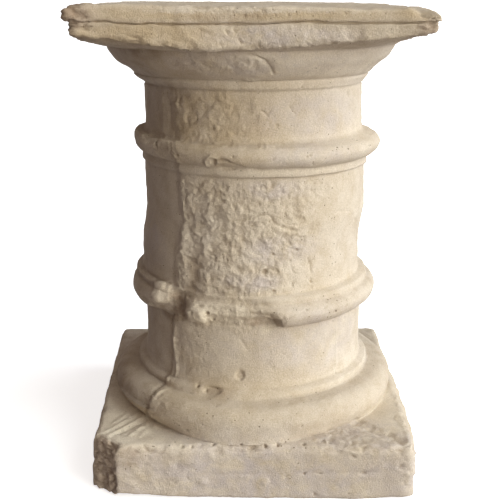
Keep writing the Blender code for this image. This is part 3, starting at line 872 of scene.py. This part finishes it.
def line(skin, corners, width, depth):
    """A groove along a line of spots, or a ridge where the depth is negative, fading out at both ends. It
    wavers as the skin's drawn places do."""
    spots = [spot(skin, *corner) for corner in corners]
    nearest = np.full(len(skin.place), 1.0)
    fade = np.zeros(len(skin.place))
    for number, (start, end) in enumerate(zip(spots, spots[1:])):
        run = end - start
        share = np.clip((skin.drawn - start) @ run / max(run @ run, 1e-9), 0.0, 1.0)
        distance = np.linalg.norm(skin.drawn - start - share[:, None] * run, axis=1)
        closer = distance < nearest
        nearest = np.where(closer, distance, nearest)
        along = (number + share) / (len(spots) - 1)
        fade = np.where(closer, np.minimum(along, 1 - along) * LINE_FADE + LINE_END, fade)
    return -depth * np.exp(-((nearest / (width / 2)) ** 2)) * np.clip(fade, 0.0, 1.0)


def pit(skin, azimuth, level, width, depth, radius=None):
    """A round pit, or a bump where the depth is negative."""
    distance = np.linalg.norm(skin.drawn - spot(skin, azimuth, level, radius), axis=1)
    return -depth * ease(PIT_EDGE - distance / (width / 2))


def scoop(skin, azimuth, level, width, height, depth, shift):
    """A shallow hollow with a ragged border on a wall, or a swelling where the depth is negative."""
    across = gap(skin.azimuth, azimuth) * DEGREE * skin.reach / (width / 2)
    up = (skin.level - level) / (height / 2)
    away = np.hypot(across, up)
    near = away < 2.0
    away[near] += SCOOP_RAGGED * lumps(skin.place[near], SCOOP_RAGS, 2, shift)
    return -depth * ease((1.0 - away) * 1.6 + 0.3)


def relief(skin, rings):
    """How far each vertex moves outwards, in metres, and how deep it then lies in a mark, from 0 to 1."""
    swell = sum(height * MM * lumps(skin.place, size, 2, shift) for height, size, shift in SWELLS)
    squared = np.array([ring.square for ring in rings])[skin.ring]
    uneven = sum(height * lumps(skin.place, size, 2, shift) for height, size, shift in SQUARE_SWELLS)
    swell += squared * MM * uneven
    for number, (azimuth, level, width, height, depth) in enumerate(SCOOPS):
        swell += scoop(skin, azimuth, level, width * MM, height * MM, depth * MM, number)
    marks = 0.22 * MM * lumps(skin.place, 0.0045, 2, 9.0)
    wear = arris_wear(rings)[skin.ring] * (0.25 + 0.75 * ease(lumps(skin.place, 0.045, 2, 12.0) * 1.6 + 0.5))
    bites = np.clip(lumps(skin.place, 0.013, 3, 20.0), 0.0, None)
    deepest = np.where(skin.level > LOWER_RING_TOP, SLAB_BITES, PLINTH_BITES)
    marks -= wear * MM * (0.8 + deepest * bites)
    marks += rough_skin(skin, wear)
    for width, depth, *corners in LINES:
        marks += line(skin, corners, width * MM, depth * MM)
    for azimuth, level, width, depth in [hole + PINHOLE_SIZE for hole in PINHOLES] + list(PITS):
        marks += pit(skin, azimuth, level, width * MM, depth * MM)
    for azimuth, radius, width, depth in PLINTH_TOP_PITS:
        marks += pit(skin, azimuth, PLINTH_TOP, width * MM, depth * MM, radius)
    return swell + marks, np.clip(-marks / (FULL_HOLLOW * MM), 0.0, 1.0)


def peeled_drum(skin):
    """1 where the middle drum's smooth face has peeled off, from the left seam to a ragged right border."""
    end = wander(skin.level, PEEL_END)
    ragged = PEEL_RAGGED * lumps(skin.place, 0.028, 2, 33.0)
    return (
        ease(gap(skin.azimuth, PEEL_START) / 2.5 + 0.2 * ragged / PEEL_RAGGED)
        * ease((end + ragged - skin.azimuth) / 24.0 + 0.6)
        * between(skin.level, *PEEL_LEVELS, 0.010)
        * (np.abs(skin.reach - DRUM_RADIUS) < 0.012)
    )


def rough_skin(skin, wear):
    """How far the crumbs and flakes stand out. The crumbs are stirred, so that their creases don't run on."""
    stirred = skin.place + STIRRING * (skin.drawn - skin.place)
    fine = crumbs(stirred, *FINE_CRUMBS) - 0.5
    coarse = crumbs(stirred, *COARSE_CRUMBS) - 0.5
    flakes = sum(
        height * np.clip(lumps(skin.drawn, size, octaves, shift) * cut, -1.0, 1.0)
        for height, size, octaves, shift, cut in FLAKES
    )
    patch = 0.15 + 0.85 * ease(lumps(skin.place, 0.030, 3, 40.0) * 2.4 + 0.60)
    patch *= wander(skin.azimuth, PEEL_STRENGTH)
    small, large, scales = PEEL_CRUMBS
    move = peeled_drum(skin) * MM * (patch * small * fine + scales * flakes + large * patch * coarse)
    beside_seam = gap(skin.azimuth, wander(skin.level, SEAM) + SEAM_CRUMBS_ASIDE) / SEAM_CRUMBS_WIDTH
    on_fascia = between(skin.level, *FASCIA_CRUMB_LEVELS, 0.006) * (skin.reach > BELL_TOP_RADIUS + 0.006)
    stretches = [(patches(skin, ((*extent, 1.0),)), heights) for *extent, heights in CRUMBLED]
    stretches += [
        (np.exp(-(beside_seam**2)) * (skin.level < SEAM_CRUMBS_TOP), SEAM_CRUMBS),
        (on_fascia, FASCIA_CRUMBS),
        (wear, ARRIS_CRUMBS),
        (broken_corner(skin.azimuth, skin.level), CORNER_CRUMBS),
    ]
    for inside, (small, large, scales) in stretches:
        move += inside * MM * (small * fine + large * coarse + scales * flakes)
    return move


def broken_corner(azimuth, level):
    """1 on the plinth's broken corner and 0 elsewhere."""
    break_normal, break_distance = PLINTH_SIDES[-1]
    own = np.cos(gap(azimuth, break_normal) * DEGREE) / break_distance
    rest = [np.cos(gap(azimuth, normal) * DEGREE) / distance for normal, distance in PLINTH_SIDES[:-1]]
    return ease((own / np.max(rest, axis=0) - 1.0) / 0.02 + 0.3) * (level < PLINTH_TOP - 0.001)


def creases(rings):
    """How concave the profile is at each ring, in metres over a centimetre or so."""
    profile = np.array([(ring.radius, ring.level) for ring in rings])
    length = np.concatenate([[0.0], np.cumsum(np.linalg.norm(np.diff(profile, axis=0), axis=1))])
    before, after = (
        np.stack([np.interp(length + reach, length, profile[:, axis]) for axis in (0, 1)], axis=1)
        for reach in (-CREASE_REACH, CREASE_REACH)
    )
    along = after - before
    outward = np.stack([along[:, 1], -along[:, 0]], axis=1) / np.linalg.norm(along, axis=1, keepdims=True)
    return np.sum(((before + after) / 2 - profile) * outward, axis=1)


def patches(skin, table):
    """How strongly each vertex lies in the nearest of these patches, from 0 to 1, of which none runs inwards
    on the top."""
    strength = np.zeros(len(skin.level))
    for azimuth, level, width, height, share in table:
        across = gap(skin.azimuth, azimuth) / (width / 2)
        up = (skin.level - level) / (height / 2)
        strength = np.maximum(strength, share * ease(1.5 - np.hypot(across, up)))
    on_top = skin.level > SLAB_TOP - TOP_BAND
    return strength * np.where(on_top, ease((skin.reach - TOP_PATCH_REACH) / TOP_PATCH_FADE), 1.0)


def carve():
    """The pedestal's skin, turned, worn and thinned where it is plain."""
    rings = all_rings()
    stone = cut_cylinder(len(rings))
    mesh = stone.data
    skin = place(mesh, rings)
    move, hollow = relief(skin, rings)
    worn = skin.place + skin.outward * move[:, None]
    worn[:, 2] = np.where(skin.level > 0.0, np.maximum(worn[:, 2], LEAST_LEVEL), 0.0)
    mesh.vertices.foreach_set("co", worn.astype(np.float32).ravel())
    # the profile's creases darkened, part dirt and part painted shade, except where the mouldings have gone
    dirt_and_shade = CREASE_DIRT_AND_SHADE * ease(creases(rings) / (FULL_CREASE * MM))[skin.ring] * (1 - patches(skin, LOST))
    # colour attributes: stains, and also painted light and painted shade in some of them
    stains_and_painted_light = {
        "hollow": np.maximum(hollow, dirt_and_shade),
        "peeled": peeled_drum(skin),
        "broken": broken_corner(skin.azimuth, skin.level) + patches(skin, BROKEN),
        "bloom": patches(skin, BLOOM),
        "ochre": patches(skin, OCHRE),
        "pale": patches(skin, PALE_AND_PAINTED_LIGHT),
        "grime_and_painted_shade": patches(skin, GRIME_AND_PAINTED_SHADE),
        "porous": patches(skin, POROUS),
    }
    for name, values in stains_and_painted_light.items():
        mesh.attributes.new(name, "FLOAT", "POINT").data.foreach_set("value", values.astype(np.float32))
    mesh.update()
    triangles = sum(len(polygon.vertices) - 2 for polygon in mesh.polygons)
    if triangles > MOST_TRIANGLES:
        thin = stone.modifiers.new("thin", "DECIMATE")
        thin.ratio = MOST_TRIANGLES / triangles
        thinned = bpy.data.meshes.new_from_object(stone.evaluated_get(bpy.context.evaluated_depsgraph_get()))
        stone.modifiers.clear()
        stone.data = thinned
    stone.data.shade_smooth()
    return stone


def add(tree, kind, settings=None, **inputs):
    """Adds a node to a tree, with its settings and what its inputs hold or are linked to. An input goes by
    its name, or by its number after an i, and a node given for one stands for its first output in use."""
    node = tree.nodes.new(kind)
    for name, value in (settings or {}).items():
        setattr(node, name, value)
    for name, value in inputs.items():
        socket = node.inputs[int(name[1:])] if name[1:].isdigit() else node.inputs[name]
        if isinstance(value, bpy.types.Node):
            value = next(output for output in value.outputs if output.enabled)
        if isinstance(value, bpy.types.NodeSocket):
            tree.links.new(value, socket)
        else:
            socket.default_value = value
    return node


def cast_stone():
    """Reconstituted stone, cast semi-dry and weathered: matt, sandy, cream to ochre, with a chalky bloom, and
    with painted light and painted shade in its colour.
    """
    material = bpy.data.materials.new("weathered_cast_stone")
    material.use_nodes = True
    tree = material.node_tree
    shader = tree.nodes["Principled BSDF"]
    where = add(tree, "ShaderNodeTexCoord").outputs["Object"]
    marked = {
        name: add(tree, "ShaderNodeAttribute", {"attribute_name": name}).outputs["Fac"]
        for name in ("pale", "ochre", "bloom", "broken", "grime_and_painted_shade", "hollow", "porous", "peeled")
    }

    # the body: cream sand and cement, in soft clouds a hand wide and mottling a finger wide
    clouds = add(tree, "ShaderNodeTexNoise", Vector=where, Scale=1 / 0.110, Detail=3.0)
    clouds = add(tree, "ShaderNodeMapRange", i0=clouds, i1=0.35, i2=0.65)
    tone = add(tree, "ShaderNodeMix", MIX, i0=clouds, i6=linear("dccfbc"), i7=linear("d1c2ac"))
    mottling = add(tree, "ShaderNodeTexNoise", Vector=where, Scale=1 / 0.022, Detail=5.0, Roughness=0.6)
    mottling = add(tree, "ShaderNodeMapRange", i0=mottling, i1=0.42, i2=0.66, i4=0.55)
    tone = add(tree, "ShaderNodeMix", MIX, i0=mottling, i6=tone, i7=linear("c4b297"))
    # the stains, of which the pale one also carries painted light
    for name, size, detail, roughness, distortion, low, high, least, colour in STAINS:
        clouds = add(
            tree, "ShaderNodeTexNoise", Vector=where, Scale=1 / size, Detail=detail, Roughness=roughness,
            Distortion=distortion,
        )
        share = add(tree, "ShaderNodeMapRange", i0=clouds, i1=low, i2=high, i3=least)
        share = add(tree, "ShaderNodeMath", TIMES, i0=marked[name], i1=share)
        tone = add(tree, "ShaderNodeMix", MIX, i0=share, i6=tone, i7=linear(colour))
    # sand grains, light and dark
    grain = add(tree, "ShaderNodeTexNoise", Vector=where, Scale=1 / 0.0016, Detail=3.0, Roughness=0.7)
    sand = add(tree, "ShaderNodeMapRange", i0=grain, i1=0.35, i2=0.68)
    sand = add(tree, "ShaderNodeMix", MIX, i0=sand, i6=linear("e6e3de"), i7=linear("ffffff"))
    tone = add(tree, "ShaderNodeMix", MIX | {"blend_type": "MULTIPLY"}, i0=1.0, i6=tone, i7=sand)
    # darkening in sheltered places with soft borders, part dirt and part painted shade
    smeared = add(tree, "ShaderNodeTexNoise", Vector=where, Scale=1 / 0.018, Detail=5.0, Roughness=0.6)
    smeared = add(tree, "ShaderNodeMapRange", i0=smeared, i1=0.34, i2=0.60, i3=0.2, i4=0.75)
    grime_and_painted_shade = add(tree, "ShaderNodeMath", TIMES, i0=marked["grime_and_painted_shade"], i1=smeared)
    tone = add(tree, "ShaderNodeMix", MIX, i0=grime_and_painted_shade, i6=tone, i7=linear("88705a"))
    # dirt and painted shade in the hollows and in the pores
    dirt_and_shade = add(tree, "ShaderNodeMapRange", i0=marked["hollow"], i1=0.15, i2=1.0, i4=0.42)
    tone = add(tree, "ShaderNodeMix", MIX, i0=dirt_and_shade, i6=tone, i7=linear("86705a"))
    cells = add(tree, "ShaderNodeTexVoronoi", Vector=where, Scale=1 / 0.0075, Randomness=1.0)
    sizes = add(tree, "ShaderNodeTexNoise", Vector=where, Scale=1 / 0.035, Detail=3.0)
    sizes = add(tree, "ShaderNodeMapRange", i0=sizes, i1=0.40, i2=0.70, i3=0.02, i4=0.13)
    sizes = add(tree, "ShaderNodeMath", TIMES_PLUS, i0=marked["porous"], i1=0.12, i2=sizes)
    pore = add(tree, "ShaderNodeMath", {"operation": "LESS_THAN"}, i0=cells, i1=sizes)
    inside = add(tree, "ShaderNodeMath", TIMES, i0=pore, i1=0.75)
    tone = add(tree, "ShaderNodeMix", MIX, i0=inside, i6=tone, i7=linear("6f6049"))
    # relief too fine for the mesh: crumbs, grains and pores
    crumb = add(tree, "ShaderNodeTexNoise", Vector=where, Scale=1 / 0.0042, Detail=4.0, Roughness=0.62)
    crumb_depth = add(tree, "ShaderNodeMapRange", i0=marked["peeled"], i3=0.55, i4=1.5)
    height = add(tree, "ShaderNodeMath", TIMES, i0=grain, i1=1.05)
    height = add(tree, "ShaderNodeMath", TIMES_PLUS, i0=crumb, i1=crumb_depth, i2=height)
    height = add(tree, "ShaderNodeMath", TIMES_PLUS, i0=pore, i1=-0.8, i2=height)
    bump = add(tree, "ShaderNodeBump", Height=height, Distance=0.0013, Strength=0.80)
    tree.links.new(tone.outputs[2], shader.inputs["Base Color"])
    tree.links.new(bump.outputs["Normal"], shader.inputs["Normal"])
    shader.inputs["Roughness"].default_value = 0.92
    shader.inputs["Specular IOR Level"].default_value = 0.2
    return material


def soft_sun(name, azimuth, elevation, spread, strength, colour):
    """A wide soft studio light from this direction, in degrees."""
    lamp = bpy.data.lights.new(name, "SUN")
    lamp.angle = spread * DEGREE
    lamp.energy = strength
    lamp.color = linear(colour)[:3]
    light = bpy.data.objects.new(name, lamp)
    flat = math.cos(elevation * DEGREE)
    x, y = flat * math.cos(azimuth * DEGREE), flat * math.sin(azimuth * DEGREE)
    light.location = (x, y, math.sin(elevation * DEGREE))
    light.rotation_euler = light.location.to_track_quat("Z", "Y").to_euler()
    bpy.context.scene.collection.objects.link(light)


def make_camera():
    """The camera, in front of the pedestal and looking down on it a little."""
    camera = bpy.data.cameras.new("camera")
    camera.sensor_width = SENSOR_WIDTH
    camera.lens = SENSOR_WIDTH * FOCAL_PIXELS / FRAME_PIXELS
    camera.clip_start = 0.05
    camera.clip_end = 4 * FLOOR_HALF
    stand = bpy.data.objects.new("camera", camera)
    stand.location = CAMERA_PLACE
    stand.rotation_euler = (math.pi / 2 - CAMERA_PITCH, 0.0, 0.0)
    bpy.context.scene.collection.objects.link(stand)
    bpy.context.scene.camera = stand


def make_studio():
    """A plain pale floor, a pale surround and soft lights from the right and the front."""
    body = bmesh.new()
    bmesh.ops.create_grid(body, x_segments=1, y_segments=1, size=FLOOR_HALF)
    floor = new_object("floor", body)
    paint = bpy.data.materials.new("pale_floor_paint")
    paint.use_nodes = True
    finish = paint.node_tree.nodes["Principled BSDF"].inputs
    finish["Base Color"].default_value = linear("f6f5f3")
    finish["Roughness"].default_value = 0.9
    finish["Emission Color"].default_value = linear("ffffff")
    finish["Emission Strength"].default_value = FLOOR_GLOW
    floor.data.materials.append(paint)
    floor.visible_diffuse = False
    floor.visible_shadow = False
    world = bpy.data.worlds.new("surround")
    world.use_nodes = True
    tree = world.node_tree
    backdrop = tree.nodes["Background"]
    # white where the camera sees it past the floor, and a dim fill on the stone
    seen = add(tree, "ShaderNodeLightPath").outputs["Is Camera Ray"]
    tint = add(tree, "ShaderNodeMix", MIX, i0=seen, i6=linear("ffe9e7"), i7=linear("ffffff"))
    power = add(tree, "ShaderNodeMapRange", i0=seen, i3=FILL_STRENGTH, i4=1.0)
    tree.links.new(tint.outputs[2], backdrop.inputs["Color"])
    tree.links.new(power.outputs["Result"], backdrop.inputs["Strength"])
    bpy.context.scene.world = world
    for name, sun in SUNS.items():
        soft_sun(name, *sun)
    bpy.context.scene.view_settings.view_transform = "Standard"


make_camera()
make_studio()
stone = carve()
stone.data.materials.append(cast_stone())
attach(stone, "root")
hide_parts("pedestal")
